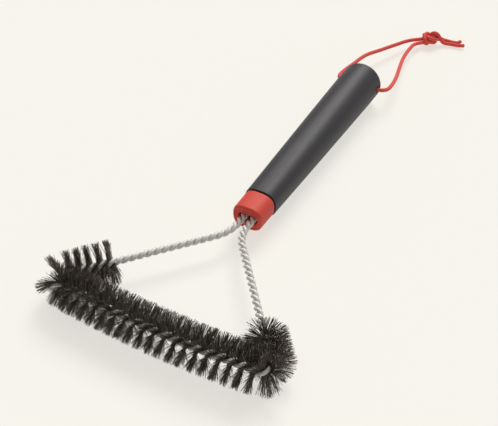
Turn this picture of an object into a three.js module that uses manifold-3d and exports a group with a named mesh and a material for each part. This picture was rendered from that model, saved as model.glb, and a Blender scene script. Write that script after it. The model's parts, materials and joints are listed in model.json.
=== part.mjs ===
import * as THREE from 'three';
import { LoftGeometry } from 'three/addons/geometries/LoftGeometry.js';
import { mergeVertices } from 'three/addons/utils/BufferGeometryUtils.js';
import Module from 'manifold-3d';

// Three-sided twisted-wire grill brush, in millimetres, +Z up.
// The handle's axis is the Y axis. The origin is the centre of the handle's flat rear end,
// the brush head lies towards -Y and the hanging cord towards +Y.

const wasm = await Module();
wasm.setup();

const CLEARANCE = 0.3;
const CUT_OVERRUN = 1;
const STEPS_PER_CORNER = 6;

// handle shell
const HANDLE_LENGTH = 164;
const HANDLE_REAR_RADIUS = 15.4;
const HANDLE_REAR_FILLET = 2.6;
const HANDLE_FRONT_HALF_WIDTH = 11.7;
const HANDLE_FRONT_HALF_HEIGHT = 10.2;
const HANDLE_FRONT_CORNER = 8.8;
const HANDLE_ROUND_LENGTH = 16;
const HANDLE_WALL = 2.4;
const HANDLE_SOLID_REAR = 14;
const SEAM_WIDTH = 0.75;
const SEAM_DEPTH = 1.2;
const SEAM_BEVEL = 0.25;
const FILLET_STEPS = 4;
const ROUND_SECTION_MARGIN = 0.05;

// front collar
const COLLAR_LENGTH = 17.9;
const COLLAR_FRONT_HALF_WIDTH = 10.8;
const COLLAR_REAR_HALF_WIDTH = 11.1;
const COLLAR_HALF_HEIGHT = 9.4;
const COLLAR_CORNER = 8;
const COLLAR_EDGE = 1;
const MOUTH_HALF_WIDTH = 6.9;
const MOUTH_HALF_HEIGHT = 3.1;
const MOUTH_CORNER = 2.6;
const MOUTH_HEIGHT = -1;
const SPIGOT_LENGTH = 10;

// wire clamp inside the handle
const CLAMP_LENGTH = 36;
const CLAMP_GRIP_LENGTH = 30;

// twisted wire frame
const STRAND_RADIUS = 1.2;
const ROPE_HALF_SPACING = 3.45;
const MOUTH_BEND_RADIUS = 28;
const ARM_ANGLE = THREE.MathUtils.degToRad(39.4);
const CORNER_RADIUS = 4.2;
const BAR_BOW_RADIUS = 700;
const BAR_HALF_LENGTH = 71;
const HEAD_DEPTH = 111.2;
const TWIST_DEPTH = 12;

// twist, in turns at a distance from the middle of the bar: tighter towards and along the arms
const END_TURNS = 18.25;
const BRISTLE_START = -112.5;
const BRISTLE_END = 105.4;
const FIRST_BRISTLED_TURN = -8.28;
const LAST_BRISTLED_TURN = 7.6;
const BRISTLED_TWIST = [
  { s: BRISTLE_START, turns: FIRST_BRISTLED_TURN },
  { s: -84.5, turns: -6.12 },
  { s: -60, turns: -4.22 },
  { s: 0, turns: 0.1 },
  { s: 71, turns: 4.98 },
  { s: BRISTLE_END, turns: LAST_BRISTLED_TURN },
];
const TUFTS = 14;
const OPENING_LENGTH = 7;
const STATIONS_PER_TURN = 10;
const STRAND_SIDES = 8;

// bristle tufts
const BRISTLE_RADIUS = 14.9;
const TUFT_ROOT_HALF_THICKNESS = 0.3;
const TUFT_ROOT_HEIGHT = 2;
const TUFT_STATIONS_PER_TURN = 14;
const TUFT_TIP_HALF_ANGLE = THREE.MathUtils.degToRad(26);
const BISECTOR_MARGIN = 0.6;

// hanging cord
const CORD_RADIUS = 1.5;
const CORD_HOLE_RADIUS = 2.3;
const CORD_HOLE_INSET = 6.3;
const CORD_HOLE_SIDES = 20;
const CORD_SIDES = 8;
const CORD_LOOP_STEPS = 72;
const CORD_TAIL_STEPS = 8;
const KNOT_RADII = [6.2, 4.7, 4.5];
const KNOT_TURN = THREE.MathUtils.degToRad(25);
const KNOT_SIDES = 14;
const KNOT_BANDS = 10;

const COLLAR_FRONT_Y = -(HANDLE_LENGTH + COLLAR_LENGTH);
const STRAND_OFFSET_BARE = STRAND_RADIUS + CLEARANCE / 2;
const STRAND_OFFSET_BRISTLED = STRAND_RADIUS + TUFT_ROOT_HALF_THICKNESS + CLEARANCE;

// ---------------------------------------------------------------- solids

function toSolid(geometry) {
  const bare = new THREE.BufferGeometry().copy(geometry);
  bare.deleteAttribute('normal');
  bare.deleteAttribute('uv');
  const merged = mergeVertices(bare, 1e-4);
  return new wasm.Manifold(new wasm.Mesh({
    numProp: 3,
    vertProperties: new Float32Array(merged.attributes.position.array),
    triVerts: new Uint32Array(merged.index.array),
  }));
}

function toGeometry(solid) {
  const mesh = solid.getMesh();
  const geometry = new THREE.BufferGeometry();
  geometry.setAttribute('position', new THREE.BufferAttribute(mesh.vertProperties, mesh.numProp));
  geometry.setIndex(new THREE.BufferAttribute(mesh.triVerts, 1));
  geometry.computeVertexNormals();
  return geometry;
}

function namedMesh(name, geometry, color, roughness, metalness) {
  const material = new THREE.MeshStandardMaterial({ color, roughness, metalness });
  const mesh = new THREE.Mesh(geometry, material);
  mesh.name = name;
  return mesh;
}

// ---------------------------------------------------------------- rounded sections across Y

// The ring of points of a rounded rectangle at one y, counterclockwise seen from +Y.
function roundedRing(y, halfWidth, halfHeight, corner) {
  const ring = [];
  const centres = [[-1, 1], [1, 1], [1, -1], [-1, -1]];
  for (let quarter = 0; quarter < 4; quarter++) {
    const [sideX, sideZ] = centres[quarter];
    for (let step = 0; step <= STEPS_PER_CORNER; step++) {
      const angle = Math.PI - (quarter + step / STEPS_PER_CORNER) * Math.PI / 2;
      const x = sideX * (halfWidth - corner) + corner * Math.cos(angle);
      const z = sideZ * (halfHeight - corner) + corner * Math.sin(angle);
      ring.push(new THREE.Vector3(x, y, z));
    }
  }
  return ring;
}

function loftRings(rings) {
  return new LoftGeometry(rings, { capStart: true, capEnd: true });
}

// The handle's half width, half height and corner radius at a distance ahead of its rear end.
function handleSize(y) {
  const roundY = -HANDLE_ROUND_LENGTH;
  const t = THREE.MathUtils.clamp((y - roundY) / (-HANDLE_LENGTH - roundY), 0, 1);
  return [
    THREE.MathUtils.lerp(HANDLE_REAR_RADIUS, HANDLE_FRONT_HALF_WIDTH, t),
    THREE.MathUtils.lerp(HANDLE_REAR_RADIUS, HANDLE_FRONT_HALF_HEIGHT, t),
    THREE.MathUtils.lerp(HANDLE_REAR_RADIUS, HANDLE_FRONT_CORNER, t),
  ];
}

// The handle's ring at y, moved inwards by an inset. A corner can't be wider than its section.
function handleRing(y, inset) {
  const [halfWidth, halfHeight, corner] = handleSize(y);
  const smallest = Math.min(halfWidth, halfHeight) - inset - ROUND_SECTION_MARGIN;
  return roundedRing(y, halfWidth - inset, halfHeight - inset, Math.min(corner - inset, smallest));
}

// ---------------------------------------------------------------- handle and collar

function handleShell() {
  const front = -HANDLE_LENGTH;
  const rings = [
    handleRing(front + CLEARANCE, SEAM_DEPTH),
    handleRing(front + SEAM_WIDTH, SEAM_DEPTH),
    handleRing(front + SEAM_WIDTH + 0.1 * SEAM_BEVEL, 0.7 * SEAM_BEVEL),
    handleRing(front + SEAM_WIDTH + SEAM_BEVEL, 0),
    handleRing(front * 0.75, 0),
    handleRing(front * 0.5, 0),
    handleRing(front * 0.25, 0),
    handleRing(-HANDLE_ROUND_LENGTH, 0),
  ];
  for (let step = 0; step <= FILLET_STEPS; step++) {
    const angle = step / FILLET_STEPS * Math.PI / 2;
    const y = -HANDLE_REAR_FILLET * (1 - Math.sin(angle));
    rings.push(handleRing(y, HANDLE_REAR_FILLET * (1 - Math.cos(angle))));
  }
  const cavity = loftRings([
    handleRing(front - CUT_OVERRUN, HANDLE_WALL),
    handleRing(front * 0.5, HANDLE_WALL),
    handleRing(-HANDLE_SOLID_REAR, HANDLE_WALL),
  ]);
  const holeLength = 2 * (HANDLE_REAR_RADIUS + CUT_OVERRUN);
  const hole = new THREE.CylinderGeometry(CORD_HOLE_RADIUS, CORD_HOLE_RADIUS, holeLength, CORD_HOLE_SIDES);
  hole.rotateZ(Math.PI / 2);
  hole.translate(0, -CORD_HOLE_INSET, 0);
  return toGeometry(toSolid(loftRings(rings)).subtract(toSolid(cavity)).subtract(toSolid(hole)));
}

function frontCollar() {
  const front = COLLAR_FRONT_Y;
  const rear = front + COLLAR_LENGTH;
  const outer = (y, inset) => {
    const t = (y - front) / COLLAR_LENGTH;
    const halfWidth = THREE.MathUtils.lerp(COLLAR_FRONT_HALF_WIDTH, COLLAR_REAR_HALF_WIDTH, t);
    return roundedRing(y, halfWidth - inset, COLLAR_HALF_HEIGHT - inset, COLLAR_CORNER - inset);
  };
  const body = loftRings([
    outer(front, COLLAR_EDGE),
    outer(front + 0.3 * COLLAR_EDGE, 0.3 * COLLAR_EDGE),
    outer(front + COLLAR_EDGE, 0),
    outer(rear, 0),
  ]);
  const spigot = loftRings([
    handleRing(rear - CUT_OVERRUN, HANDLE_WALL + CLEARANCE),
    handleRing(rear + SPIGOT_LENGTH, HANDLE_WALL + CLEARANCE),
  ]);
  const mouth = loftRings([
    roundedRing(front - CUT_OVERRUN, MOUTH_HALF_WIDTH, MOUTH_HALF_HEIGHT, MOUTH_CORNER),
    roundedRing(rear + SPIGOT_LENGTH + CUT_OVERRUN, MOUTH_HALF_WIDTH, MOUTH_HALF_HEIGHT, MOUTH_CORNER),
  ]);
  mouth.translate(0, 0, MOUTH_HEIGHT);
  return toGeometry(toSolid(body).add(toSolid(spigot)).subtract(toSolid(mouth)));
}

// One half of the clamp. side is 1 for the upper half and -1 for the lower half.
function clampHalf(side) {
  const front = -HANDLE_LENGTH + SPIGOT_LENGTH + CLEARANCE;
  const rear = front + CLAMP_LENGTH;
  const block = loftRings([
    handleRing(front, HANDLE_WALL + CLEARANCE),
    handleRing(rear, HANDLE_WALL + CLEARANCE),
  ]);
  const size = 4 * HANDLE_REAR_RADIUS;
  const half = new THREE.BoxGeometry(size, size, size);
  half.translate(0, (front + rear) / 2, side * (size + CLEARANCE) / 2 + MOUTH_HEIGHT);
  const ropeHalfSize = STRAND_OFFSET_BARE + STRAND_RADIUS + CLEARANCE;
  const channel = new THREE.BoxGeometry(
    2 * (ROPE_HALF_SPACING + ropeHalfSize), 2 * (CLAMP_GRIP_LENGTH + CUT_OVERRUN), 2 * ropeHalfSize);
  channel.translate(0, front, MOUTH_HEIGHT);
  return toGeometry(toSolid(block).intersect(toSolid(half)).subtract(toSolid(channel)));
}

// ---------------------------------------------------------------- wire frame path

// One side of the frame from the middle of the bar to inside the handle, as stretches of constant
// curvature, in a plane whose origin is the centre of the collar's front face.
const BAR_BOW = BAR_HALF_LENGTH / BAR_BOW_RADIUS;
const CORNER_TURN = Math.PI / 2 + ARM_ANGLE - BAR_BOW;

// The arm is as long as it takes for the rope to enter the collar at half the ropes' spacing.
function armLength() {
  const cornerCentreX = (BAR_BOW_RADIUS - CORNER_RADIUS) * Math.sin(BAR_BOW);
  const armStartX = cornerCentreX + CORNER_RADIUS * Math.cos(ARM_ANGLE);
  const mouthBendWidth = MOUTH_BEND_RADIUS * (1 - Math.cos(ARM_ANGLE));
  return (armStartX - mouthBendWidth - ROPE_HALF_SPACING) / Math.sin(ARM_ANGLE);
}

const ARM_LENGTH = armLength();
const STRETCHES = [
  { length: BAR_HALF_LENGTH, curvature: 1 / BAR_BOW_RADIUS },
  { length: CORNER_TURN * CORNER_RADIUS, curvature: 1 / CORNER_RADIUS },
  { length: ARM_LENGTH, curvature: 0 },
  { length: ARM_ANGLE * MOUTH_BEND_RADIUS, curvature: -1 / MOUTH_BEND_RADIUS },
  { length: Infinity, curvature: 0 },
];

// The point and heading at a distance from the middle of the bar towards the right-hand side.
function walk(distance) {
  let x = 0;
  let y = -HEAD_DEPTH;
  let heading = 0;
  let left = distance;
  for (const { length, curvature } of STRETCHES) {
    const run = Math.min(left, length);
    const turned = heading + curvature * run;
    if (curvature === 0) {
      x += run * Math.cos(heading);
      y += run * Math.sin(heading);
    } else {
      x += (Math.sin(turned) - Math.sin(heading)) / curvature;
      y += (Math.cos(heading) - Math.cos(turned)) / curvature;
    }
    heading = turned;
    left -= run;
    if (left <= 0) break;
  }
  return { x, y, heading };
}

const CORNER_START = BAR_HALF_LENGTH;
const CORNER_END = CORNER_START + CORNER_TURN * CORNER_RADIUS;
const MOUTH_BEND_END = CORNER_END + ARM_LENGTH + ARM_ANGLE * MOUTH_BEND_RADIUS;
const MOUTH_S = MOUTH_BEND_END - walk(MOUTH_BEND_END).y;
const TWIST_END = MOUTH_S + TWIST_DEPTH;
const WIRE_END = MOUTH_S + COLLAR_LENGTH + SPIGOT_LENGTH + CLAMP_GRIP_LENGTH - CLEARANCE;

// The centreline's height: the arms slope down a little from the bar's level to the mouth's.
function heightAt(distance) {
  return MOUTH_HEIGHT * THREE.MathUtils.clamp((distance - CORNER_END) / ARM_LENGTH, 0, 1);
}

// The frame's centreline from the left wire end round to the right one. s is 0 at the bar's middle.
function frameAt(s) {
  const { x, y, heading } = walk(Math.abs(s));
  const mirror = s < 0 ? -1 : 1;
  const tangent = new THREE.Vector3(Math.cos(heading), mirror * Math.sin(heading), 0);
  const inward = new THREE.Vector3(-tangent.y, tangent.x, 0);
  return { centre: new THREE.Vector3(mirror * x, y, heightAt(Math.abs(s))), inward };
}

// ---------------------------------------------------------------- twist

const TWIST_TABLE = [
  { s: -TWIST_END, turns: -END_TURNS },
  ...BRISTLED_TWIST,
  { s: TWIST_END, turns: END_TURNS },
];

function interpolate(rows, from, to, value) {
  if (value <= rows[0][from]) return rows[0][to];
  for (let i = 1; i < rows.length; i++) {
    const low = rows[i - 1];
    const high = rows[i];
    if (value <= high[from]) {
      return THREE.MathUtils.mapLinear(value, low[from], high[from], low[to], high[to]);
    }
  }
  return rows[rows.length - 1][to];
}

const turnsAt = (s) => interpolate(TWIST_TABLE, 's', 'turns', s);
const distanceAtTurns = (turns) => interpolate(TWIST_TABLE, 'turns', 's', turns);

// The rope is twisted left-handed, so the angle falls as s grows.
const twistAngle = (s) => -2 * Math.PI * turnsAt(s);

// How far each strand's centre is from the rope's axis: wider where bristles lie between the strands.
function strandOffset(s) {
  const inside = Math.min(s - BRISTLE_START, BRISTLE_END - s) / OPENING_LENGTH + 1;
  return THREE.MathUtils.lerp(STRAND_OFFSET_BARE, STRAND_OFFSET_BRISTLED, THREE.MathUtils.clamp(inside, 0, 1));
}

// Places a section, given as [across, along] pairs in the rope's own turning axes, at s.
function placeSection(s, section, reachLimit = Infinity) {
  const { centre, inward } = frameAt(s);
  const angle = twistAngle(s);
  const up = new THREE.Vector3(0, 0, 1);
  return section.map(([a, b]) => {
    let u = a * Math.cos(angle) - b * Math.sin(angle);
    let v = a * Math.sin(angle) + b * Math.cos(angle);
    if (u > reachLimit) {
      v *= reachLimit / u;
      u = reachLimit;
    }
    return centre.clone().addScaledVector(inward, u).addScaledVector(up, v);
  });
}

// A round strand cut across the rope's axis is an ellipse, because the strand runs at a slant.
function strandSection(s, side) {
  const offset = strandOffset(s);
  const step = 0.01;
  const twistRate = Math.abs(twistAngle(s + step) - twistAngle(s - step)) / (2 * step);
  const stretch = Math.hypot(1, twistRate * offset);
  const section = [];
  for (let i = 0; i < STRAND_SIDES; i++) {
    const angle = (i + 0.5) / STRAND_SIDES * 2 * Math.PI;
    const across = offset + STRAND_RADIUS * Math.cos(angle);
    const along = STRAND_RADIUS * stretch * Math.sin(angle);
    section.push([side * across, side * along]);
  }
  return section;
}

function twistStations() {
  const count = Math.round(2 * END_TURNS * STATIONS_PER_TURN);
  const stations = [-WIRE_END];
  for (let i = 0; i <= count; i++) {
    stations.push(distanceAtTurns(THREE.MathUtils.lerp(-END_TURNS, END_TURNS, i / count)));
  }
  stations.push(WIRE_END);
  return stations;
}

function wireStrand(side) {
  return loftRings(twistStations().map((s) => placeSection(s, strandSection(s, side))));
}

// ---------------------------------------------------------------- bristle tufts

// How far a bristle can reach into the triangle before it meets the other brush of its corner.
function inwardReach(s) {
  const distance = Math.abs(s);
  const halfCornerTangent = CORNER_RADIUS * Math.tan(CORNER_TURN / 2);
  let fromVertex = halfCornerTangent;
  if (distance < CORNER_START) fromVertex += CORNER_START - distance;
  if (distance > CORNER_END) fromVertex += distance - CORNER_END;
  return fromVertex * Math.tan((Math.PI - CORNER_TURN) / 2) - BISECTOR_MARGIN;
}

// Both wings of the blade: thin where it is clamped between the strands, wide at the tips.
function tuftSection() {
  const wing = [
    [TUFT_ROOT_HALF_THICKNESS, 0],
    [TUFT_ROOT_HALF_THICKNESS, TUFT_ROOT_HEIGHT],
    [BRISTLE_RADIUS * Math.sin(TUFT_TIP_HALF_ANGLE), BRISTLE_RADIUS * Math.cos(TUFT_TIP_HALF_ANGLE)],
    [0, BRISTLE_RADIUS],
    [-BRISTLE_RADIUS * Math.sin(TUFT_TIP_HALF_ANGLE), BRISTLE_RADIUS * Math.cos(TUFT_TIP_HALF_ANGLE)],
    [-TUFT_ROOT_HALF_THICKNESS, TUFT_ROOT_HEIGHT],
  ];
  return wing.concat(wing.map(([a, b]) => [-a, -b]));
}

function bristleTuft(firstTurn, lastTurn) {
  const section = tuftSection();
  const start = distanceAtTurns(firstTurn) + CLEARANCE / 2;
  const end = distanceAtTurns(lastTurn) - CLEARANCE / 2;
  const stations = [start];
  const count = Math.round((lastTurn - firstTurn) * TUFT_STATIONS_PER_TURN);
  for (let i = 1; i < count; i++) {
    stations.push(distanceAtTurns(THREE.MathUtils.lerp(firstTurn, lastTurn, i / count)));
  }
  stations.push(end);
  return loftRings(stations.map((s) => placeSection(s, section, inwardReach(s))));
}

// ---------------------------------------------------------------- hanging cord

// Half of the cord loop, from the middle of the cord hole to the knot, about the hole's centre.
const KNOT_CENTRE = new THREE.Vector3(18.3, 100.5, -10.7);
const RIGHT_LEG = [
  [16.2, 0, 0], [18.6, 1, -0.2], [20.9, 5, -0.9], [20.9, 14, -2.2], [18.8, 27, -4.2],
  [14.6, 44, -6.4], [10.6, 62, -8.6], [9.2, 78, -10.2], [11, 89, -11.6], [16.5, 98.5, -12.6],
];
const LEFT_LEG = [
  [-16.2, 0, 0], [-18.4, 1, -0.1], [-19.9, 4.8, -0.6], [-19.9, 13, -1.6], [-18.3, 26, -3],
  [-14.9, 44, -4.4], [-8.8, 60, -6.6], [-2, 76, -8.4], [6, 91, -9.4], [16.5, 100.5, -9.6],
];
const TAILS = [
  [[20, 101, -11.4], [28, 106.5, -12.8], [35, 111, -13.6], [39.5, 114, -13.8]],
  [[20, 100, -12], [29, 104, -13], [38, 107, -13.7], [46, 109.5, -13.8]],
];

function cordAlong(points, steps) {
  const outline = [];
  for (let i = 0; i < CORD_SIDES; i++) {
    const angle = i / CORD_SIDES * 2 * Math.PI;
    outline.push(new THREE.Vector2(CORD_RADIUS * Math.cos(angle), CORD_RADIUS * Math.sin(angle)));
  }
  const path = new THREE.CatmullRomCurve3(points.map((p) => new THREE.Vector3(...p)));
  return new THREE.ExtrudeGeometry(new THREE.Shape(outline), {
    steps, bevelEnabled: false, extrudePath: path,
  });
}

function hangingCord() {
  const loop = [...LEFT_LEG].reverse().concat([[0, 0, 0]], RIGHT_LEG);
  const knot = new THREE.SphereGeometry(1, KNOT_SIDES, KNOT_BANDS);
  knot.scale(...KNOT_RADII);
  knot.rotateZ(KNOT_TURN);
  knot.translate(KNOT_CENTRE.x, KNOT_CENTRE.y, KNOT_CENTRE.z);
  let solid = toSolid(cordAlong(loop, CORD_LOOP_STEPS)).add(toSolid(knot));
  for (const tail of TAILS) {
    solid = solid.add(toSolid(cordAlong(tail, CORD_TAIL_STEPS)));
  }
  return toGeometry(solid);
}

// ---------------------------------------------------------------- assembly

const handle = new THREE.Group();
handle.add(
  namedMesh('handle_shell', handleShell(), 0x2b2b2d, 0.5, 0),
  namedMesh('front_collar', frontCollar(), 0xd8352c, 0.45, 0),
  namedMesh('wire_clamp_upper', clampHalf(1), 0x202022, 0.6, 0),
  namedMesh('wire_clamp_lower', clampHalf(-1), 0x202022, 0.6, 0),
);

const head = new THREE.Group();
head.position.y = COLLAR_FRONT_Y;
head.add(
  namedMesh('wire_strand_a', wireStrand(1), 0xb9bab8, 0.3, 1),
  namedMesh('wire_strand_b', wireStrand(-1), 0xb9bab8, 0.3, 1),
);
for (let i = 0; i < TUFTS; i++) {
  const first = THREE.MathUtils.lerp(FIRST_BRISTLED_TURN, LAST_BRISTLED_TURN, i / TUFTS);
  const last = THREE.MathUtils.lerp(FIRST_BRISTLED_TURN, LAST_BRISTLED_TURN, (i + 1) / TUFTS);
  const name = `bristle_tuft_${String(i + 1).padStart(2, '0')}`;
  head.add(namedMesh(name, bristleTuft(first, last), 0x2c2724, 0.5, 0.6));
}

const cord = new THREE.Group();
cord.position.y = -CORD_HOLE_INSET;
cord.add(namedMesh('hanging_cord', hangingCord(), 0xc8202c, 0.8, 0));

const brush = new THREE.Group();
brush.add(handle, head, cord);

export default brush;
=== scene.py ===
"""Looks of the three-sided grill brush: shell, collar, twisted wire, wire bristles and a knotted cord.

Shapes are worked out in millimetres in the row frame: the handle's axis is Y, the origin is the
centre of the handle's flat rear end, the head lies towards -Y, the cord towards +Y, and +Z is up.
"""

import json
import math

import bpy
import numpy as np
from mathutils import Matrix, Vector


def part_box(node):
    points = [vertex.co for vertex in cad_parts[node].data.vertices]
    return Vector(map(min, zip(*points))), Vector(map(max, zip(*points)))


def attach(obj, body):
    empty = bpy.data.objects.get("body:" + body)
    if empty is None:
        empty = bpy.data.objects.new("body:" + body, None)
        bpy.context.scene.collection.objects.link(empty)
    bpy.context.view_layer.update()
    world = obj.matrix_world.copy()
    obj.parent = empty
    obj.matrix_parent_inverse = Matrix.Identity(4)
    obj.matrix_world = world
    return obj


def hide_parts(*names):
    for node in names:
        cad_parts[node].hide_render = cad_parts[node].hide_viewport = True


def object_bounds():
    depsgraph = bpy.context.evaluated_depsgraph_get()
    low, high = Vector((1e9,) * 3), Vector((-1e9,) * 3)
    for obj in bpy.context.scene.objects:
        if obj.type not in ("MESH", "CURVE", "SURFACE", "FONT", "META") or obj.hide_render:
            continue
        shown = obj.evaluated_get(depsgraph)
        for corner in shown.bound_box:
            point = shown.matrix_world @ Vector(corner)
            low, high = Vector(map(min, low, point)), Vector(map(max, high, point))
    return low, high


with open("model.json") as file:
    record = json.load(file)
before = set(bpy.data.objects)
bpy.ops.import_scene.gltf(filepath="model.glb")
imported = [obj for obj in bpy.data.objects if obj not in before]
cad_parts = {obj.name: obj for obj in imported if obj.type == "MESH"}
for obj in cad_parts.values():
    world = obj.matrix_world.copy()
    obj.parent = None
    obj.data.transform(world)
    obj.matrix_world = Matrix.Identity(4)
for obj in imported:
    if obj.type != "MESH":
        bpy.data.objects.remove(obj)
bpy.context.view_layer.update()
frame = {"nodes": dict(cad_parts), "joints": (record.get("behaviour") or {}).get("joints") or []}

MM = 0.001
SEED = 7301

# ---------------------------------------------------------------- driving sizes, in millimetres

handle_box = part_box("handle_shell")
collar_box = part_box("front_collar")
cord_pin = frame["joints"][0]["pos_m"]

HANDLE_LENGTH = 164.0
HANDLE_REAR_RADIUS = handle_box[1].x / MM
HANDLE_REAR_FILLET = 2.6
HANDLE_FRONT_HALF_WIDTH = 11.7
HANDLE_FRONT_HALF_HEIGHT = 10.2
HANDLE_FRONT_SQUARENESS = 2.6
HANDLE_ROUND_LENGTH = 16.0
HANDLE_WALL = 2.4
HANDLE_SOLID_REAR = 14.0
SEAM_WIDTH = 0.75
SEAM_DEPTH = 1.2
SEAM_EDGE = 0.3
LIP_EDGE = 0.35
LIP_BEVEL = 0.15
HANDLE_RING_GAP = 3.0
REAR_FACE_SHARES = (0.7, 0.4, 0.12)
HANDLE_SHARP_DEG = 32
CLEARANCE = 0.3

COLLAR_LENGTH = 17.9
COLLAR_FRONT_Y = collar_box[0].y / MM
COLLAR_FRONT_HALF_WIDTH = 10.8
COLLAR_REAR_HALF_WIDTH = collar_box[1].x / MM
COLLAR_HALF_HEIGHT = collar_box[1].z / MM
COLLAR_SQUARENESS = 2.75
COLLAR_EDGE = 1.5
COLLAR_REAR_EDGE = 0.5
COLLAR_DISH = 0.8
MOUTH_HALF_WIDTH = 6.9
MOUTH_HALF_HEIGHT = 3.1
MOUTH_CORNER = 2.6
MOUTH_HEIGHT = -1.0
MOUTH_EDGE = 1.3
SPIGOT_LENGTH = 10.0
SPIGOT_EDGE = 0.4

STRAND_RADIUS = 1.3
STRAND_OFFSET_BARE = 1.3
STRAND_OFFSET_BRISTLED = 1.5
STRAND_END_SHARE = 0.7
STRAND_SHARP_DEG = 50
STRAIGHT_STEP = 1.5
ROPE_HALF_SPACING = 3.45
MOUTH_BEND_RADIUS = 28.0
ARM_ANGLE = math.radians(39.4)
CORNER_RADIUS = 4.2
BAR_BOW_RADIUS = 700.0
BAR_HALF_LENGTH = 71.0
HEAD_DEPTH = 111.2
TWIST_DEPTH = 12.0
CLAMP_GRIP_LENGTH = 30.0

END_TURNS = 18.25
BRISTLE_START = -112.5
BRISTLE_END = 105.4
FIRST_BRISTLED_TURN = -8.28
LAST_BRISTLED_TURN = 7.6
OPENING_LENGTH = 7.0
TUFTS = 14

BRISTLE_REACH = 14.9
LONGEST_REACH = 15.2
BRISTLE_WIRE_RADIUS = 0.115
BRISTLES_PER_MM = 28.0

CORD_RADIUS = 1.5
CORD_HOLE_RADIUS = 2.3
CORD_HOLE_FLARE = 0.8
CORD_HOLE_FLARE_SUNK = 0.35
CUT_OVERRUN = 4.0
CORD_CENTRE = np.array(cord_pin) / MM

# ---------------------------------------------------------------- meshes


def build(name, points, faces, material, body, stands_for, sharp_deg=35):
    """A closed mesh from points in millimetres, riding on a body and standing for CAD nodes."""
    mesh = bpy.data.meshes.new(name)
    mesh.from_pydata((np.asarray(points) * MM).tolist(), [], faces)
    mesh.materials.append(material)
    mesh.shade_smooth()
    if sharp_deg is not None:
        mesh.set_sharp_from_angle(angle=math.radians(sharp_deg))
    mesh.update()
    piece = bpy.data.objects.new(name, mesh)
    bpy.context.scene.collection.objects.link(piece)
    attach(piece, body)
    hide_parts(*stands_for)
    return piece


def add_values(piece, name, values):
    """One number per vertex, for the material to read."""
    attribute = piece.data.attributes.new(name, "FLOAT", "POINT")
    attribute.data.foreach_set("value", np.asarray(values, np.float32))


def tube_faces(stations, sides, closed_path=False):
    """Faces of a tube whose rings follow each other, capped at both ends unless the path closes."""
    faces = []
    last = stations if closed_path else stations - 1
    for i in range(last):
        a = i * sides
        b = (i + 1) % stations * sides
        for j in range(sides):
            k = (j + 1) % sides
            faces.append((a + j, a + k, b + k, b + j))
    if not closed_path:
        end = (stations - 1) * sides
        faces.append(tuple(reversed(range(sides))))
        faces.append(tuple(end + j for j in range(sides)))
    return faces


def rounded_ring(y, half_width, half_height, corner, steps=24):
    """A rounded rectangle across Y, from its -X side over the top to +X and back underneath."""
    ring = []
    for quarter, (side_x, side_z) in enumerate(((-1, 1), (1, 1), (1, -1), (-1, -1))):
        for step in range(steps):
            angle = math.pi - (quarter + step / (steps - 1)) * math.pi / 2
            ring.append((side_x * (half_width - corner) + corner * math.cos(angle), y,
                         side_z * (half_height - corner) + corner * math.sin(angle)))
    return np.array(ring)


def crowned_ring(y, half_width, half_height, squareness, steps=96):
    """A squarish section with gently crowned faces, which is an ellipse at squareness 2."""
    angle = math.pi - (np.arange(steps) + 0.5) / steps * 2 * math.pi
    bend = 2 / squareness
    x = half_width * np.sign(np.cos(angle)) * np.abs(np.cos(angle)) ** bend
    z = half_height * np.sign(np.sin(angle)) * np.abs(np.sin(angle)) ** bend
    return np.stack([x, np.full(steps, float(y)), z], 1)


def lerp(a, b, t):
    """The value a share t of the way from a to b."""
    return a + (b - a) * t


def unit(v):
    """Vectors scaled to length 1."""
    return v / np.linalg.norm(v, axis=-1, keepdims=True)


def handle_ring(y, inset):
    """The handle's outline at y, moved inwards by an inset."""
    t = min(max((-HANDLE_ROUND_LENGTH - y) / (HANDLE_LENGTH - HANDLE_ROUND_LENGTH), 0), 1)
    half_width = lerp(HANDLE_REAR_RADIUS, HANDLE_FRONT_HALF_WIDTH, t) - inset
    half_height = lerp(HANDLE_REAR_RADIUS, HANDLE_FRONT_HALF_HEIGHT, t) - inset
    return crowned_ring(y, half_width, half_height, lerp(2, HANDLE_FRONT_SQUARENESS, t))


# ---------------------------------------------------------------- node materials


# Sockets of a colour mix, which shares its names with the number and vector mixes.
MIX_SHARE = 0
MIX_A = 6
MIX_B = 7
MIX_RESULT = 2
SCRATCH_DEPTH = 0.012


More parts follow.
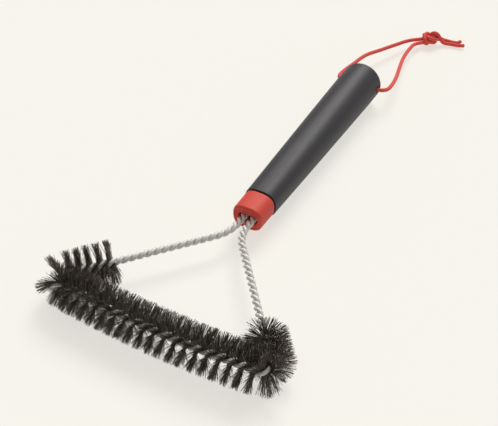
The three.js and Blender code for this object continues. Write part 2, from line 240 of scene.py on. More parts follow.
class Nodes:
    """A material whose nodes are added one by one."""

    def __init__(self, name):
        self.material = bpy.data.materials.new(name)
        self.material.use_nodes = True
        self.tree = self.material.node_tree
        self.tree.nodes.clear()
        self.output = self.add("ShaderNodeOutputMaterial")
        self.shader = self.add("ShaderNodeBsdfPrincipled")
        self.link(self.shader, "BSDF", self.output, "Surface")

    def add(self, kind, **settings):
        node = self.tree.nodes.new(kind)
        for key, value in settings.items():
            setattr(node, key, value)
        return node

    def link(self, source, out, target, into):
        self.tree.links.new(source.outputs[out], target.inputs[into])

    def place(self, scale=(1, 1, 1)):
        """Object coordinates in millimetres, stretched by a scale."""
        where = self.add("ShaderNodeTexCoord")
        mapping = self.add("ShaderNodeMapping")
        mapping.inputs["Scale"].default_value = [1000 * k for k in scale]
        self.link(where, "Object", mapping, "Vector")
        return mapping

    def noise(self, per_mm, detail=3.0, roughness=0.55, stretch=(1, 1, 1)):
        mapping = self.place(stretch)
        node = self.add("ShaderNodeTexNoise")
        node.inputs["Scale"].default_value = per_mm
        node.inputs["Detail"].default_value = detail
        node.inputs["Roughness"].default_value = roughness
        self.link(mapping, "Vector", node, "Vector")
        return node

    def ramp(self, source, out, low, high):
        """Black below low, white above high."""
        node = self.add("ShaderNodeValToRGB")
        node.color_ramp.elements[0].position = low
        node.color_ramp.elements[1].position = high
        self.link(source, out, node, "Fac")
        return node

    def mix(self, share, share_out, a, b):
        """A colour between a and b, each a colour or an earlier mix."""
        node = self.add("ShaderNodeMix", data_type="RGBA")
        self.link(share, share_out, node, MIX_SHARE)
        for into, value in ((MIX_A, a), (MIX_B, b)):
            if isinstance(value, tuple):
                node.inputs[into].default_value = (*value, 1)
            else:
                self.link(value, MIX_RESULT, node, into)
        return node

    def remap(self, source, out, low, high):
        """A value from 0 to 1 spread over low to high."""
        node = self.add("ShaderNodeMapRange")
        node.inputs["To Min"].default_value = low
        node.inputs["To Max"].default_value = high
        self.link(source, out, node, "Value")
        return node

    def bump(self, source, out, depth_mm, below=None):
        node = self.add("ShaderNodeBump")
        node.inputs["Strength"].default_value = 1.0
        node.inputs["Distance"].default_value = depth_mm * MM
        self.link(source, out, node, "Height")
        if below is not None:
            self.link(below, "Normal", node, "Normal")
        return node

    def finish(self, linked, **values):
        """Sets the shader's inputs, from linked (node, output) pairs and from plain values."""
        for name, (source, out) in linked.items():
            self.link(source, out, self.shader, name)
        for key, value in values.items():
            self.shader.inputs[key.replace("_", " ")].default_value = value
        return self.material


def moulded_plastic(name, colour, deeper, roughness, grain_mm, specular):
    """Satin moulded plastic: fine grain, slow colour drift, faint scuffs along the length."""
    n = Nodes(name)
    drift = n.noise(0.05, 2.0)
    grain = n.noise(3.2, 2.0)
    scuffs = n.noise(1.6, 4.0, 0.7, (1.0, 0.06, 1.0))
    tone = n.mix(drift, "Fac", colour, deeper)
    scuffed = n.ramp(scuffs, "Fac", 0.62, 0.78)
    lifted = tuple(min(1, c + 0.05) for c in colour)
    paler = n.mix(n.remap(scuffed, "Color", 0.0, 0.1), "Result", tone, lifted)
    rough = n.remap(scuffs, "Fac", roughness - 0.05, roughness + 0.07)
    relief = n.bump(grain, "Fac", grain_mm)
    scratch = n.bump(scuffs, "Fac", SCRATCH_DEPTH, relief)
    return n.finish({"Base Color": (paler, MIX_RESULT), "Roughness": (rough, "Result"),
                     "Normal": (scratch, "Normal")}, Specular_IOR_Level=specular)


def drawn_wire(name):
    """Bright drawn wire: lines along the strand, slight dulling in patches."""
    n = Nodes(name)
    around = n.add("ShaderNodeAttribute", attribute_name="around")
    lines = n.add("ShaderNodeTexNoise", noise_dimensions="1D")
    lines.inputs["Scale"].default_value = 26.0
    lines.inputs["Detail"].default_value = 3.0
    n.link(around, "Fac", lines, "W")
    patches = n.noise(0.35, 3.0)
    fine = n.noise(2.6, 2.0)
    tone = n.mix(patches, "Fac", (0.74, 0.735, 0.715), (0.66, 0.655, 0.635))
    streaks = n.mix(n.remap(lines, "Fac", 0.0, 0.3), "Result", tone, (0.52, 0.515, 0.50))
    rough = n.remap(patches, "Fac", 0.55, 0.66)
    relief = n.bump(lines, "Fac", 0.02)
    relief = n.bump(fine, "Fac", 0.015, relief)
    return n.finish({"Base Color": (streaks, MIX_RESULT), "Roughness": (rough, "Result"),
                     "Normal": (relief, "Normal")}, Metallic=0.35)


def bristle_steel(name):
    """Dark tempered bristle wire: each wire has its own tone, with brown film and paler cut ends."""
    n = Nodes(name)
    tone = n.add("ShaderNodeAttribute", attribute_name="tone")
    reach = n.add("ShaderNodeAttribute", attribute_name="reach")
    film = n.noise(0.5, 3.0)
    fine = n.noise(5.0, 1.0)
    dark = n.mix(tone, "Fac", (0.080, 0.069, 0.058), (0.300, 0.265, 0.225))
    brown = n.mix(n.remap(film, "Fac", 0.0, 0.4), "Result", dark, (0.110, 0.084, 0.064))
    cut_end = n.ramp(reach, "Fac", 0.90, 1.0)
    tipped = n.mix(n.remap(cut_end, "Color", 0.0, 0.35), "Result", brown, (0.28, 0.255, 0.22))
    rough = n.remap(tone, "Fac", 0.5, 0.35)
    relief = n.bump(fine, "Fac", 0.01)
    return n.finish({"Base Color": (tipped, MIX_RESULT), "Roughness": (rough, "Result"),
                     "Normal": (relief, "Normal")}, Metallic=0.55, Specular_IOR_Level=0.35)


def cord_fabric(name):
    """Braided polyester cord: fuzzy sheen, mottled dye, painted shade between the strands."""
    n = Nodes(name)
    weave = n.add("ShaderNodeAttribute", attribute_name="weave")
    mottle = n.noise(0.42, 3.0)
    fibre = n.noise(7.0, 2.0)
    dye = n.mix(mottle, "Fac", (0.86, 0.115, 0.090), (0.74, 0.080, 0.066))
    # Painted shade: the braid's low grooves are mixed up to half-way towards a dark red, standing in
    # for the shade between the strands.
    shaded = n.mix(n.remap(weave, "Fac", 0.5, 0.0), "Result", dye, (0.42, 0.012, 0.016))
    lit = n.mix(n.remap(fibre, "Fac", 0.0, 0.22), "Result", shaded, (0.88, 0.17, 0.14))
    relief = n.bump(fibre, "Fac", 0.06)
    return n.finish({"Base Color": (lit, MIX_RESULT), "Normal": (relief, "Normal")},
                    Roughness=0.72, Sheen_Weight=0.35, Sheen_Roughness=0.4,
                    Sheen_Tint=(1.0, 0.55, 0.5, 1), Specular_IOR_Level=0.3)


HANDLE_PLASTIC = moulded_plastic("handle_plastic", (0.048, 0.046, 0.053), (0.041, 0.039, 0.046),
                                 roughness=0.48, grain_mm=0.010, specular=0.27)
COLLAR_PLASTIC = moulded_plastic("collar_plastic", (0.65, 0.074, 0.053), (0.59, 0.058, 0.044),
                                 roughness=0.52, grain_mm=0.008, specular=0.24)
CLAMP_PLASTIC = moulded_plastic("clamp_plastic", (0.020, 0.020, 0.021), (0.012, 0.012, 0.013),
                                roughness=0.55, grain_mm=0.02, specular=0.4)
FRAME_WIRE = drawn_wire("frame_wire")
BRISTLE_STEEL = bristle_steel("bristle_steel")
CORD_FABRIC = cord_fabric("cord_fabric")

# ---------------------------------------------------------------- handle


def arc(steps):
    """Angles of a quarter circle, from 0 to a right angle."""
    return [i / steps * math.pi / 2 for i in range(steps + 1)]


def cord_hole_cutter(sides=48):
    """A round bar along X through the cord hole, flaring at the handle's skin."""
    flare_start = HANDLE_REAR_RADIUS - CORD_HOLE_FLARE - CORD_HOLE_FLARE_SUNK
    half = [(0.0, CORD_HOLE_RADIUS), (flare_start, CORD_HOLE_RADIUS)]
    for angle in arc(6)[1:]:
        half.append((flare_start + CORD_HOLE_FLARE * math.sin(angle),
                     CORD_HOLE_RADIUS + CORD_HOLE_FLARE * (1 - math.cos(angle))))
    half.append((HANDLE_REAR_RADIUS + CUT_OVERRUN, CORD_HOLE_RADIUS + CORD_HOLE_FLARE + CUT_OVERRUN))
    profile = [(-x, r) for x, r in reversed(half[1:])] + half
    points = []
    for x, r in profile:
        for j in range(sides):
            angle = 2 * math.pi * j / sides
            points.append((x, CORD_CENTRE[1] + r * math.cos(angle),
                           CORD_CENTRE[2] + r * math.sin(angle)))
    mesh = bpy.data.meshes.new("cord_hole_cutter")
    mesh.from_pydata((np.array(points) * MM).tolist(), [], tube_faces(len(profile), sides))
    mesh.update()
    cutter = bpy.data.objects.new("cord_hole_cutter", mesh)
    bpy.context.scene.collection.objects.link(cutter)
    return cutter


def cut(piece, cutter):
    """Cuts one closed shape out of another, then removes the cutter."""
    modifier = piece.modifiers.new("cut", "BOOLEAN")
    modifier.operation = "DIFFERENCE"
    modifier.solver = "EXACT"
    modifier.object = cutter
    bpy.context.view_layer.update()
    result = bpy.data.meshes.new_from_object(piece.evaluated_get(bpy.context.evaluated_depsgraph_get()))
    piece.modifiers.clear()
    piece.data = result
    bpy.data.objects.remove(cutter)


def front_lip_rings(front, seam_end):
    """Round the lip's front end, along its outside and out over the seam's edge."""
    rings = []
    for angle in arc(4)[1:]:
        rings.append(handle_ring(front + LIP_EDGE * (1 - math.sin(angle)),
                                 HANDLE_WALL - LIP_EDGE * (1 - math.cos(angle))))
    rings.append(handle_ring(front, SEAM_DEPTH + LIP_BEVEL))
    rings.append(handle_ring(front + LIP_BEVEL, SEAM_DEPTH))
    rings.append(handle_ring(seam_end, SEAM_DEPTH))
    for angle in arc(6):
        rings.append(handle_ring(seam_end + SEAM_EDGE * (1 - math.cos(angle)),
                                 SEAM_EDGE * (1 - math.sin(angle))))
    return rings


def rear_end_rings():
    """Round the rear edge, then inwards over the flat end face."""
    rings = []
    for angle in arc(10)[1:]:
        rings.append(handle_ring(-HANDLE_REAR_FILLET * (1 - math.sin(angle)),
                                 HANDLE_REAR_FILLET * (1 - math.cos(angle))))
    for share in REAR_FACE_SHARES:
        rings.append(rings[-1] * [0, 1, 0] + handle_ring(0, HANDLE_REAR_FILLET) * [share, 0, share])
    return rings


def handle_piece():
    """The hollow shell in one skin: along the bore, over the lip, back outside to the rear end."""
    front = -HANDLE_LENGTH + CLEARANCE
    seam_end = front - CLEARANCE + SEAM_WIDTH
    rings = []
    for k in range(9):
        rings.append(handle_ring(lerp(-HANDLE_SOLID_REAR, front + LIP_EDGE, k / 8), HANDLE_WALL))
    rings += front_lip_rings(front, seam_end)
    y = seam_end + SEAM_EDGE
    while y < -HANDLE_ROUND_LENGTH - HANDLE_RING_GAP:
        y += HANDLE_RING_GAP
        rings.append(handle_ring(y, 0))
    for k in range(1, 26):
        rings.append(handle_ring(lerp(y, -HANDLE_REAR_FILLET, k / 25), 0))
    rings += rear_end_rings()
    points = np.concatenate(rings)
    piece = build("handle_skin", points, tube_faces(len(rings), len(rings[0])), HANDLE_PLASTIC, "brush",
                  ["handle_shell"])
    cut(piece, cord_hole_cutter())
    piece.data.shade_smooth()
    piece.data.set_sharp_from_angle(angle=math.radians(HANDLE_SHARP_DEG))


# ---------------------------------------------------------------- collar


def collar_outline(y, inset):
    """The collar's outline at y, moved inwards by an inset."""
    t = (y - COLLAR_FRONT_Y) / COLLAR_LENGTH
    half_width = lerp(COLLAR_FRONT_HALF_WIDTH, COLLAR_REAR_HALF_WIDTH, t)
    return crowned_ring(y, half_width - inset, COLLAR_HALF_HEIGHT - inset, COLLAR_SQUARENESS)


def mouth_outline(y, outset):
    """The wire passage's outline at y, moved outwards by an outset."""
    ring = rounded_ring(y, MOUTH_HALF_WIDTH + outset, MOUTH_HALF_HEIGHT + outset,
                        MOUTH_CORNER + outset)
    return ring + [0, 0, MOUTH_HEIGHT]


def mouth_rings(spigot_end):
    """Forwards along the wire passage, then out over the mouth's edge and the dished front face."""
    face_y = COLLAR_FRONT_Y + COLLAR_DISH
    rings = []
    for k in range(9):
        rings.append(mouth_outline(lerp(spigot_end, face_y + MOUTH_EDGE, k / 8), 0))
    for angle in arc(8)[1:]:
        rings.append(mouth_outline(face_y + MOUTH_EDGE * (1 - math.sin(angle)),
                                   MOUTH_EDGE * (1 - math.cos(angle))))
    inner = rings[-1]
    rim = collar_outline(COLLAR_FRONT_Y, COLLAR_EDGE)
    for k in range(1, 9):
        share = k / 9
        ring = lerp(inner, rim, share)
        ring[:, 1] = COLLAR_FRONT_Y + COLLAR_DISH * (1 - share ** 3)
        rings.append(ring)
    return rings


def collar_outside_rings(rear):
    """Back along the collar's outside, between its rounded front and rear edges."""
    front = COLLAR_FRONT_Y
    rings = []
    for angle in arc(8):
        rings.append(collar_outline(front + COLLAR_EDGE * (1 - math.cos(angle)),
                                    COLLAR_EDGE * (1 - math.sin(angle))))
    for k in range(1, 9):
        rings.append(collar_outline(lerp(front + COLLAR_EDGE, rear - COLLAR_REAR_EDGE, k / 8), 0))
    for angle in arc(4)[1:]:
        rings.append(collar_outline(rear - COLLAR_REAR_EDGE * (1 - math.sin(angle)),
                                    COLLAR_REAR_EDGE * (1 - math.cos(angle))))
    return rings


def collar_piece():
    """The collar in one skin: through the mouth, back along the outside, then down the spigot."""
    rear = COLLAR_FRONT_Y + COLLAR_LENGTH
    spigot_end = rear + SPIGOT_LENGTH
    spigot_inset = HANDLE_WALL + CLEARANCE
    rings = mouth_rings(spigot_end) + collar_outside_rings(rear)
    rings.append(handle_ring(rear, spigot_inset))
    rings.append(handle_ring(spigot_end - SPIGOT_EDGE, spigot_inset))
    rings.append(handle_ring(spigot_end, spigot_inset + SPIGOT_EDGE))
    points = np.concatenate(rings)
    faces = tube_faces(len(rings), len(rings[0]), closed_path=True)
    build("collar_skin", points, faces, COLLAR_PLASTIC, "brush", ["front_collar"])


# ---------------------------------------------------------------- wire frame path

BAR_BOW = BAR_HALF_LENGTH / BAR_BOW_RADIUS
CORNER_TURN = math.pi / 2 + ARM_ANGLE - BAR_BOW
CORNER_CENTRE_X = (BAR_BOW_RADIUS - CORNER_RADIUS) * math.sin(BAR_BOW)
ARM_LENGTH = (CORNER_CENTRE_X + CORNER_RADIUS * math.cos(ARM_ANGLE)
              - MOUTH_BEND_RADIUS * (1 - math.cos(ARM_ANGLE)) - ROPE_HALF_SPACING) / math.sin(ARM_ANGLE)
STRAIGHT_ON = 1000.0
STRETCHES = (
    (BAR_HALF_LENGTH, 1 / BAR_BOW_RADIUS),
    (CORNER_TURN * CORNER_RADIUS, 1 / CORNER_RADIUS),
    (ARM_LENGTH, 0.0),
    (ARM_ANGLE * MOUTH_BEND_RADIUS, -1 / MOUTH_BEND_RADIUS),
    (STRAIGHT_ON, 0.0),
)
CORNER_END = BAR_HALF_LENGTH + CORNER_TURN * CORNER_RADIUS
MOUTH_BEND_END = CORNER_END + ARM_LENGTH + ARM_ANGLE * MOUTH_BEND_RADIUS


def walk(distance):
    """Point and heading at distances from the bar's middle, about the collar's front face."""
    x = np.zeros_like(distance)
    y = np.full_like(distance, -HEAD_DEPTH)
    heading = np.zeros_like(distance)
    done = 0.0
    for length, curvature in STRETCHES:
        run = np.clip(distance - done, 0, length)
        turned = heading + curvature * run
        if curvature == 0:
            x = x + run * np.cos(heading)
            y = y + run * np.sin(heading)
        else:
            x = x + (np.sin(turned) - np.sin(heading)) / curvature
            y = y + (np.cos(heading) - np.cos(turned)) / curvature
        heading = turned
        done += length
    return x, y, heading


MOUTH_S = MOUTH_BEND_END - float(walk(np.array([MOUTH_BEND_END]))[1][0])
TWIST_END = MOUTH_S + TWIST_DEPTH
WIRE_END = MOUTH_S + COLLAR_LENGTH + SPIGOT_LENGTH + CLAMP_GRIP_LENGTH - CLEARANCE
TWIST_S = (-TWIST_END, BRISTLE_START, -84.5, -60.0, 0.0, 71.0, BRISTLE_END, TWIST_END)
TWIST_TURNS = (-END_TURNS, FIRST_BRISTLED_TURN, -6.12, -4.22, 0.1, 4.98, LAST_BRISTLED_TURN,
               END_TURNS)
UP = np.array([0.0, 0.0, 1.0])


def path_frame(s):
    """Centre, tangent and inward direction of the rope at distances s from the bar's middle."""
    x, y, heading = walk(np.abs(s))
    mirror = np.where(s < 0, -1.0, 1.0)
    z = MOUTH_HEIGHT * np.clip((np.abs(s) - CORNER_END) / ARM_LENGTH, 0, 1)
    centre = np.stack([mirror * x, y + COLLAR_FRONT_Y, z], 1)
    tangent = np.stack([np.cos(heading), mirror * np.sin(heading), np.zeros_like(s)], 1)
    inward = np.stack([-tangent[:, 1], tangent[:, 0], np.zeros_like(s)], 1)
    return centre, tangent, inward


def twist_angle(s):
    """The rope's turn about its axis in radians, falling along the path as the twist is left-handed."""
    return -2 * math.pi * np.interp(s, TWIST_S, TWIST_TURNS)


def strand_offset(s):
    """How far each strand is from the rope's axis: wider where bristles lie between the strands."""
    opening = np.clip(np.minimum(s - BRISTLE_START, BRISTLE_END - s) / OPENING_LENGTH + 1, 0, 1)
    return lerp(STRAND_OFFSET_BARE, STRAND_OFFSET_BRISTLED, opening)


def strand_piece(side, name, stands_for, per_turn=30, sides=16):
    """One of the two round wires of the rope."""
    turns = np.linspace(-END_TURNS, END_TURNS, int(2 * END_TURNS * per_turn) + 1)
    s = np.interp(turns, TWIST_TURNS, TWIST_S)
    ends = np.arange(TWIST_END + STRAIGHT_STEP, WIRE_END - STRAIGHT_STEP / 3, STRAIGHT_STEP)
    s = np.concatenate([[-WIRE_END], -ends[::-1], s, ends, [WIRE_END]])
    centre, _, inward = path_frame(s)
    angle = twist_angle(s)
    radial = side * (np.cos(angle)[:, None] * inward + np.sin(angle)[:, None] * UP)
    middle = centre + strand_offset(s)[:, None] * radial
    tangent = unit(np.gradient(middle, axis=0))
    out = unit(radial - np.sum(radial * tangent, 1, keepdims=True) * tangent)
    across = np.cross(tangent, out)
    around = np.arange(sides) / sides * 2 * math.pi
    rings = (middle[:, None] + STRAND_RADIUS * (np.cos(around)[None, :, None] * out[:, None]
                                                + np.sin(around)[None, :, None] * across[:, None]))
    for end in (0, -1):
        rings[end] = lerp(middle[end], rings[end], STRAND_END_SHARE)
    piece = build(name, rings.reshape(-1, 3), tube_faces(len(s), sides), FRAME_WIRE, "brush",
                  [stands_for], STRAND_SHARP_DEG)
    add_values(piece, "around", np.tile(1 - np.abs(around / math.pi - 1), len(s)))


# ---------------------------------------------------------------- bristles

HALF_RINGS = 5
BRISTLE_SIDES = 4
BRISTLE_SHARP_DEG = 60
CLAMPED_LENGTH = 2.0
SHEET_HALF = 0.18
SHEET_TAPER = 0.3
REACH_SPREAD = 0.45
SHORTER_BY = 2.4
WIDTH_SPREAD = 0.15
TONE_BIAS = 1.6

# How a bristle strays from its place: by itself, and together with its clump.
FAN_DEG = 8.5
LEAN_DEG = 6.5
OWN_SHARE = 0.8
CLUMP_SHARE = 0.4
CLUMPS_PER_MM = 2.2
CLUMP_DRAWS = 4096
CURL = 0.035
CURL_SHARE = 0.8


def stray(degrees, rng, clump_draws, clump):
    """Each bristle's angle off its place, partly shared with its clump."""
    own = OWN_SHARE * rng.normal(0, 1, len(clump))
    return np.radians(degrees) * (own + CLUMP_SHARE * clump_draws[clump % CLUMP_DRAWS])


def wing_rings(s, wing, sheet, clump, clump_fan, clump_lean, rng):
    """Points along the half bristles on one side, from the clamped middle to the tips."""
    count = len(s)
    centre, tangent, inward = path_frame(s)
    base = twist_angle(s) + wing * math.pi / 2
    fan = stray(FAN_DEG, rng, clump_fan, clump * 2 + wing)
    lean = stray(LEAN_DEG, rng, clump_lean, clump * 2 + wing)
    curl_fan = rng.normal(0, CURL, count)
    curl_lean = rng.normal(0, CURL, count)
    spread = rng.normal(0, REACH_SPREAD, count)
    shortened = SHORTER_BY * rng.uniform(0, 1, count) ** 3
    reach = np.minimum(BRISTLE_REACH + spread - shortened, LONGEST_REACH)
    radial = np.cos(base)[:, None] * inward + np.sin(base)[:, None] * UP
    side_on = -np.sin(base)[:, None] * inward + np.cos(base)[:, None] * UP
    rings = []
    for share in np.linspace(0, 1, HALF_RINGS):
        r = lerp(CLAMPED_LENGTH / 2, reach, share)
        free = np.maximum(r - CLAMPED_LENGTH, 0)
        sideways = free * (np.tan(fan) + curl_fan * share * CURL_SHARE)
        lengthways = free * (np.tan(lean) + curl_lean * share * CURL_SHARE)
        shrink = r / np.sqrt(r * r + sideways ** 2)
        across = sideways * shrink + wing * sheet * (1 - SHEET_TAPER * share)
        rings.append(centre + (r * shrink)[:, None] * radial + across[:, None] * side_on
                     + lengthways[:, None] * tangent)
    return rings


def round_wires(spine, along, rng):
    """A ring of points round every station of every bristle."""
    count = len(spine)
    direction = unit(np.gradient(spine, axis=1))
    first_side = unit(np.cross(direction, along[:, None]))
    second_side = np.cross(direction, first_side)
    around = np.arange(BRISTLE_SIDES) / BRISTLE_SIDES * 2 * math.pi
    spin = rng.uniform(0, 2 * math.pi, count)[:, None] + around
    width = BRISTLE_WIRE_RADIUS * rng.uniform(1 - WIDTH_SPREAD, 1 + WIDTH_SPREAD, count)
    return (spine[:, :, None]
            + (width[:, None] * np.cos(spin))[:, None, :, None] * first_side[:, :, None]
            + (width[:, None] * np.sin(spin))[:, None, :, None] * second_side[:, :, None])


def bristle_piece(index, rng):
    """One tuft: wires laid between the strands, standing out on both sides as a spiral fin."""
    limits = [lerp(FIRST_BRISTLED_TURN, LAST_BRISTLED_TURN, k / TUFTS) for k in (index, index + 1)]
    start, end = np.interp(limits, TWIST_TURNS, TWIST_S)
    count = int(round((end - start) * BRISTLES_PER_MM))
    s = start + (np.arange(count) + rng.uniform(0, 1, count)) / count * (end - start)
    clump = np.floor(s * CLUMPS_PER_MM).astype(int)
    clump_fan = rng.normal(0, 1, CLUMP_DRAWS)
    clump_lean = rng.normal(0, 1, CLUMP_DRAWS)
    sheet = rng.uniform(-1, 1, count) * SHEET_HALF
    upper = wing_rings(s, 1, sheet, clump, clump_fan, clump_lean, rng)
    lower = wing_rings(s, -1, sheet, clump, clump_fan, clump_lean, rng)
    rings = round_wires(np.stack(lower[::-1] + upper, 1), path_frame(s)[1], rng)
    stations = 2 * HALF_RINGS
    per_wire = stations * BRISTLE_SIDES
    one = tube_faces(stations, BRISTLE_SIDES)
    faces = [tuple(k + w * per_wire for k in face) for w in range(count) for face in one]
    piece = build(f"bristles_{index + 1:02d}", rings.reshape(-1, 3), faces, BRISTLE_STEEL, "brush",
                  [f"bristle_tuft_{index + 1:02d}"], BRISTLE_SHARP_DEG)
    half_share = np.linspace(0, 1, HALF_RINGS)
    share = np.concatenate([half_share[::-1], half_share])
    add_values(piece, "tone", np.repeat(rng.uniform(0, 1, count) ** TONE_BIAS, per_wire))
    add_values(piece, "reach", np.tile(np.repeat(share, BRISTLE_SIDES), count))


# ---------------------------------------------------------------- hanging cord

# Each leg from the cord hole to the knot, and each tail beyond the knot, about the hole's centre.
RIGHT_LEG = ((16.2, 0, 0), (18.6, 1, -0.2), (20.9, 5, -0.9), (20.9, 14, -2.2), (18.8, 27, -4.2),
             (14.6, 44, -6.4), (10.6, 62, -8.6), (9.2, 78, -10.0), (9.9, 86, -10.2))
LEFT_LEG = ((-16.2, 0, 0), (-17.7, 1, -0.1), (-18.9, 4.8, -0.6), (-18.9, 13, -1.6), (-17.6, 26, -3),
            (-14.9, 44, -4.4), (-8.8, 60, -6.6), (-2, 76, -8.4), (3.8, 87.5, -9.4))
KNOT_CENTRE = np.array([18.3, 101.2, -9.9])
KNOT_HEADING_DEG = 40.0
TREFOIL_SPAN = 2.05
TREFOIL_SIZE = 4.6
KNOT_REACH = 13.0
KNOT_SLACK = 14.0
KNOT_CORE = 3.2
KNOT_TIED = 6.0
KNOT_STEP = 1.2
KNOT_ROUNDS = 260
KNOT_PULLED_BY = 0.4
KNOT_EVEN_EVERY = 4
KNOT_BESIDE_GAP = 0.52 * 2 * CORD_RADIUS
KNOT_FADE = 4.0
KNOT_STRAIGHTENING = 0.12
KNOT_GATHERING = 0.1
KNOT_PUSH = 0.25
KNOT_NEIGHBOURS = 5

CORD_STEP = 0.32
CORD_SIDES = 28
CORD_END_ROUNDING = 0.9
CORD_END_FLAT = 0.05
BRAID_LAY = 9.0
BRAID_STRANDS = 6
BRAID_LOW = 0.945
BRAID_RELIEF = 0.075

TAIL_A = ((27.2, 107.6, -12.4), (30.7, 109.2, -13.4), (35.5, 110.0, -13.7), (38.5, 110.9, -13.6),
          (40.4, 113.8, -12.9))
TAIL_B = ((27.8, 104.5, -12.8), (35.0, 106.6, -13.8), (40.0, 107.6, -13.8), (45.0, 109.8, -13.8))


def smooth_path(points, step):
    """A centripetal Catmull-Rom curve through the points, at even distances."""
    p = np.array(points, float)
    p = np.vstack([2 * p[0] - p[1], p, 2 * p[-1] - p[-2]])
    out = []
    for i in range(1, len(p) - 2):
        a, b, c, d = p[i - 1:i + 3]
        t0 = 0.0
        t1 = t0 + np.linalg.norm(b - a) ** 0.5
        t2 = t1 + np.linalg.norm(c - b) ** 0.5
        t3 = t2 + np.linalg.norm(d - c) ** 0.5
        t = np.linspace(t1, t2, 40, endpoint=False)[:, None]
        ab = (t1 - t) / (t1 - t0) * a + (t - t0) / (t1 - t0) * b
        bc = (t2 - t) / (t2 - t1) * b + (t - t1) / (t2 - t1) * c
        cd = (t3 - t) / (t3 - t2) * c + (t - t2) / (t3 - t2) * d
        abc = (t2 - t) / (t2 - t0) * ab + (t - t0) / (t2 - t0) * bc
        bcd = (t3 - t) / (t3 - t1) * bc + (t - t1) / (t3 - t1) * cd
        out.append((t2 - t) / (t2 - t1) * abc + (t - t1) / (t2 - t1) * bcd)
    return even_path(np.vstack(out + [p[-2:-1]]), step)


def even_path(points, step):
    """The same path with points at even distances."""
    gaps = np.linalg.norm(np.diff(points, axis=0), axis=1)
    distance = np.concatenate([[0], np.cumsum(gaps)])
    count = max(4, int(round(distance[-1] / step)))
    wanted = np.linspace(0, distance[-1], count)
    return np.stack([np.interp(wanted, distance, points[:, k]) for k in range(3)], 1)


def loose_knot():
    """Two cords side by side along X, with one loose overhand knot in them."""
    t = np.linspace(-TREFOIL_SPAN, TREFOIL_SPAN, 300)
    loose = np.stack([TREFOIL_SIZE * (t ** 3 - 3 * t), TREFOIL_SIZE * (t ** 4 - 4 * t ** 2),
                      t ** 5 - 10 * t], 1)
    loose[:, 1] -= loose[len(t) // 4:-len(t) // 4, 1].mean()
    far = KNOT_REACH + KNOT_SLACK
    path = even_path(np.vstack([[-far, 0, 0], loose, [far, 0, 0]]), KNOT_STEP)
    beside = unit(np.cross(np.gradient(path, axis=0), UP))
    return [path + beside * CORD_RADIUS, path - beside * CORD_RADIUS]


def pull_cord(cord, side, end_x):
    """Shortens one cord, with its free parts drawn towards a straight line and its ends held."""
    for _ in range(2):
        cord[1:-1] += 0.5 * ((cord[:-2] + cord[2:]) / 2 - cord[1:-1])
    beside = side * KNOT_BESIDE_GAP
    away = np.clip((np.abs(cord[:, 0]) - KNOT_CORE) / KNOT_FADE, 0, 1)[:, None]
    home = np.stack([cord[:, 0], np.full(len(cord), beside), np.zeros(len(cord))], 1)
    cord += (home - cord) * (away * KNOT_STRAIGHTENING)
    cord[0] = (-end_x, beside, 0)
    cord[-1] = (end_x, beside, 0)


def push_apart(cords):
    """Gathers the knot about its middle, then moves cords that overlap out of each other."""
    both = np.vstack(cords)
    owner = np.repeat((0, 1), [len(cord) for cord in cords])
    place = np.concatenate([np.arange(len(cord)) for cord in cords])
    core = np.abs(both[:, 0]) < KNOT_CORE
    share = np.clip(1 - (np.abs(both[:, 0]) - KNOT_CORE) / KNOT_FADE, 0, 1)[:, None]
    both -= share * both[core].mean(0) * KNOT_GATHERING
    same_cord = owner[:, None] == owner[None]
    neighbours = same_cord & (np.abs(place[:, None] - place[None]) < KNOT_NEIGHBOURS)
    diameter = 2 * CORD_RADIUS
    for _ in range(3):
        squared = ((both[:, None] - both[None]) ** 2).sum(2)
        i, j = np.nonzero((squared < diameter ** 2) & ~neighbours & (squared > 0))
        apart = np.sqrt(squared[i, j])
        push = np.zeros_like(both)
        np.add.at(push, i, (both[i] - both[j]) * ((diameter - apart) / apart * KNOT_PUSH)[:, None])
        both = both + push
    return [both[owner == 0], both[owner == 1]]


def overhand_knot():
    """Two cords tied together in one overhand knot and pulled tight."""
    cords = loose_knot()
    for pull in range(KNOT_ROUNDS):
        tight = min(1, pull / (KNOT_PULLED_BY * KNOT_ROUNDS))
        for cord, side in zip(cords, (1, -1)):
            pull_cord(cord, side, KNOT_REACH + KNOT_SLACK * (1 - tight))
        cords = push_apart(cords)
        if pull % KNOT_EVEN_EVERY == 0:
            cords = [even_path(cord, KNOT_STEP) for cord in cords]
    return cords


def turned_about_z(points, degrees):
    """Points turned about the Z axis."""
    c, s = math.cos(math.radians(degrees)), math.sin(math.radians(degrees))
    x, y, z = points.T
    return np.stack([c * x - s * y, s * x + c * y, z], 1)


def cord_path():
    """One cord from tail to tail: knot, left leg, through the hole, right leg, knot again."""
    halves = []
    for cord, leg, tail in zip(overhand_knot(), (LEFT_LEG, RIGHT_LEG), (TAIL_A, TAIL_B)):
        tied = cord[np.abs(cord[:, 0]) < KNOT_TIED]
        halves.append(np.vstack([leg, turned_about_z(tied, KNOT_HEADING_DEG) + KNOT_CENTRE, tail]))
    return smooth_path(np.vstack([halves[0][::-1], [[0, 0, 0]], halves[1]]), CORD_STEP)


def carried_sides(tangent):
    """A side direction carried along the path without twist."""
    side = np.zeros_like(tangent)
    side[0] = unit(np.cross(tangent[0], UP))
    for i in range(1, len(tangent)):
        side[i] = unit(side[i - 1] - (side[i - 1] @ tangent[i]) * tangent[i])
    return side


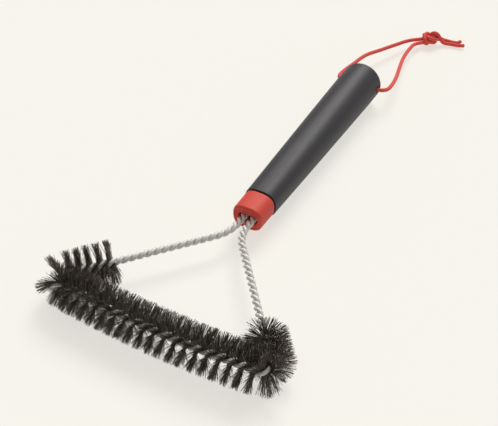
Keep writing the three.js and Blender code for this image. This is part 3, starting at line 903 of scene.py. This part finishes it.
def cord_piece():
    """The braided cord as one tube with a woven relief."""
    path = cord_path()
    tangent = unit(np.gradient(path, axis=0))
    side = carried_sides(tangent)
    other = np.cross(tangent, side)
    distance = np.concatenate([[0], np.cumsum(np.linalg.norm(np.diff(path, axis=0), axis=1))])
    around = np.arange(CORD_SIDES) / CORD_SIDES * 2 * math.pi
    lay = 2 * math.pi * distance[:, None] / BRAID_LAY
    over = np.cos(BRAID_STRANDS * (around[None] + lay))
    under = np.cos(BRAID_STRANDS * (around[None] - lay))
    weave = np.clip(0.5 + 0.25 * (over + under) + 0.25 * over * under, 0, 1)
    end_gap = np.minimum(distance, distance[-1] - distance)[:, None]
    into_end = np.clip(1 - end_gap / CORD_END_ROUNDING, 0, 1)
    radius = CORD_RADIUS * (BRAID_LOW + BRAID_RELIEF * weave)
    radius = radius * np.sqrt(np.clip(1 - into_end ** 2, CORD_END_FLAT, 1))
    rings = (path[:, None] + radius[..., None] * (np.cos(around)[None, :, None] * side[:, None]
                                                  + np.sin(around)[None, :, None] * other[:, None]))
    points = rings.reshape(-1, 3) + CORD_CENTRE
    piece = build("cord_braid", points, tube_faces(len(path), CORD_SIDES), CORD_FABRIC, "cord",
                  ["hanging_cord"], None)
    # The braid's height, kept per vertex: the cord's material paints shade into its low grooves from
    # it.
    add_values(piece, "weave", weave.reshape(-1))


# ---------------------------------------------------------------- the pieces

handle_piece()
collar_piece()
strand_piece(1, "strand_a", "wire_strand_a")
strand_piece(-1, "strand_b", "wire_strand_b")
bristle_rng = np.random.default_rng(SEED)
for tuft_index in range(TUFTS):
    bristle_piece(tuft_index, bristle_rng)
cord_piece()
for node_name in ("wire_clamp_upper", "wire_clamp_lower"):
    node = frame["nodes"][node_name]
    node.data.materials.clear()
    node.data.materials.append(CLAMP_PLASTIC)

# ---------------------------------------------------------------- floor, light and camera

FLOOR_GLOW = 0.66
FLOOR_HALF_SIZE = 6.0
FLOOR_GAP = 0.0001


def floor_material():
    """Pale studio paper, part lit and part glowing, so that its shadows stay light."""
    n = Nodes("floor_paper")
    grain = n.noise(0.4, 2.0)
    tone = n.mix(grain, "Fac", (0.256, 0.251, 0.236), (0.264, 0.259, 0.244))
    n.shader.inputs["Emission Color"].default_value = (1.0, 0.982, 0.919, 1)
    n.shader.inputs["Emission Strength"].default_value = FLOOR_GLOW
    return n.finish({"Base Color": (tone, MIX_RESULT)}, Roughness=1.0, Specular_IOR_Level=0.0)


def broad_sun(name, arrives_from, spread_deg, strength, colour):
    """An even light from one side of the sky, as wide as a big softbox."""
    data = bpy.data.lights.new(name, "SUN")
    data.angle = math.radians(spread_deg)
    data.energy = strength
    data.color = colour
    light = bpy.data.objects.new(name, data)
    light.rotation_mode = "QUATERNION"
    light.rotation_quaternion = Vector(arrives_from).to_track_quat("Z", "Y")
    bpy.context.scene.collection.objects.link(light)


def studio_world(name, low, high, seen):
    """A surround that lights more from overhead and looks as pale as the floor."""
    world = bpy.data.worlds.new(name)
    world.use_nodes = True
    tree = world.node_tree
    where = tree.nodes.new("ShaderNodeTexCoord")
    height = tree.nodes.new("ShaderNodeSeparateXYZ")
    tree.links.new(where.outputs["Generated"], height.inputs["Vector"])
    grade = tree.nodes.new("ShaderNodeMapRange")
    grade.inputs["To Min"].default_value = low
    grade.inputs["To Max"].default_value = high
    tree.links.new(height.outputs["Z"], grade.inputs["Value"])
    rays = tree.nodes.new("ShaderNodeLightPath")
    strength = tree.nodes.new("ShaderNodeMix")
    strength.inputs["B"].default_value = seen
    tree.links.new(rays.outputs["Is Camera Ray"], strength.inputs["Factor"])
    tree.links.new(grade.outputs["Result"], strength.inputs["A"])
    background = tree.nodes["Background"]
    background.inputs["Color"].default_value = (1.0, 0.982, 0.93, 1)
    tree.links.new(strength.outputs["Result"], background.inputs["Strength"])
    return world


def lay_floor():
    """A square of paper just under the lowest bristle."""
    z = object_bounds()[0].z - FLOOR_GAP
    corners = [(FLOOR_HALF_SIZE * x, FLOOR_HALF_SIZE * y, z)
               for x, y in ((-1, -1), (1, -1), (1, 1), (-1, 1))]
    mesh = bpy.data.meshes.new("floor")
    mesh.from_pydata(corners, [], [(0, 1, 2, 3)])
    mesh.materials.append(floor_material())
    floor = bpy.data.objects.new("floor", mesh)
    bpy.context.scene.collection.objects.link(floor)


lay_floor()

LOOK_AT = Vector((-0.001467, -0.17616, 0.0))
AZIMUTH = math.radians(29.42)
ELEVATION = math.radians(42.13)
DISTANCE = 0.700
LENS = 76.51

camera_data = bpy.data.cameras.new("camera")
camera_data.sensor_width = 36.0
camera_data.lens = LENS
camera_data.clip_start = 0.01
camera = bpy.data.objects.new("camera", camera_data)
back = Vector((math.sin(AZIMUTH) * math.cos(ELEVATION), -math.cos(AZIMUTH) * math.cos(ELEVATION),
               math.sin(ELEVATION)))
camera.location = LOOK_AT + back * DISTANCE
camera.rotation_mode = "QUATERNION"
camera.rotation_quaternion = (-back).to_track_quat("-Z", "Y")
bpy.context.scene.collection.objects.link(camera)
bpy.context.scene.camera = camera

bpy.context.scene.world = studio_world("studio", low=0.3, high=0.48, seen=0.92)
broad_sun("key", arrives_from=(-0.12, 0.646, 0.754), spread_deg=32.0, strength=2.6,
          colour=(1.0, 0.985, 0.95))
bpy.context.scene.view_settings.view_transform = "Standard"
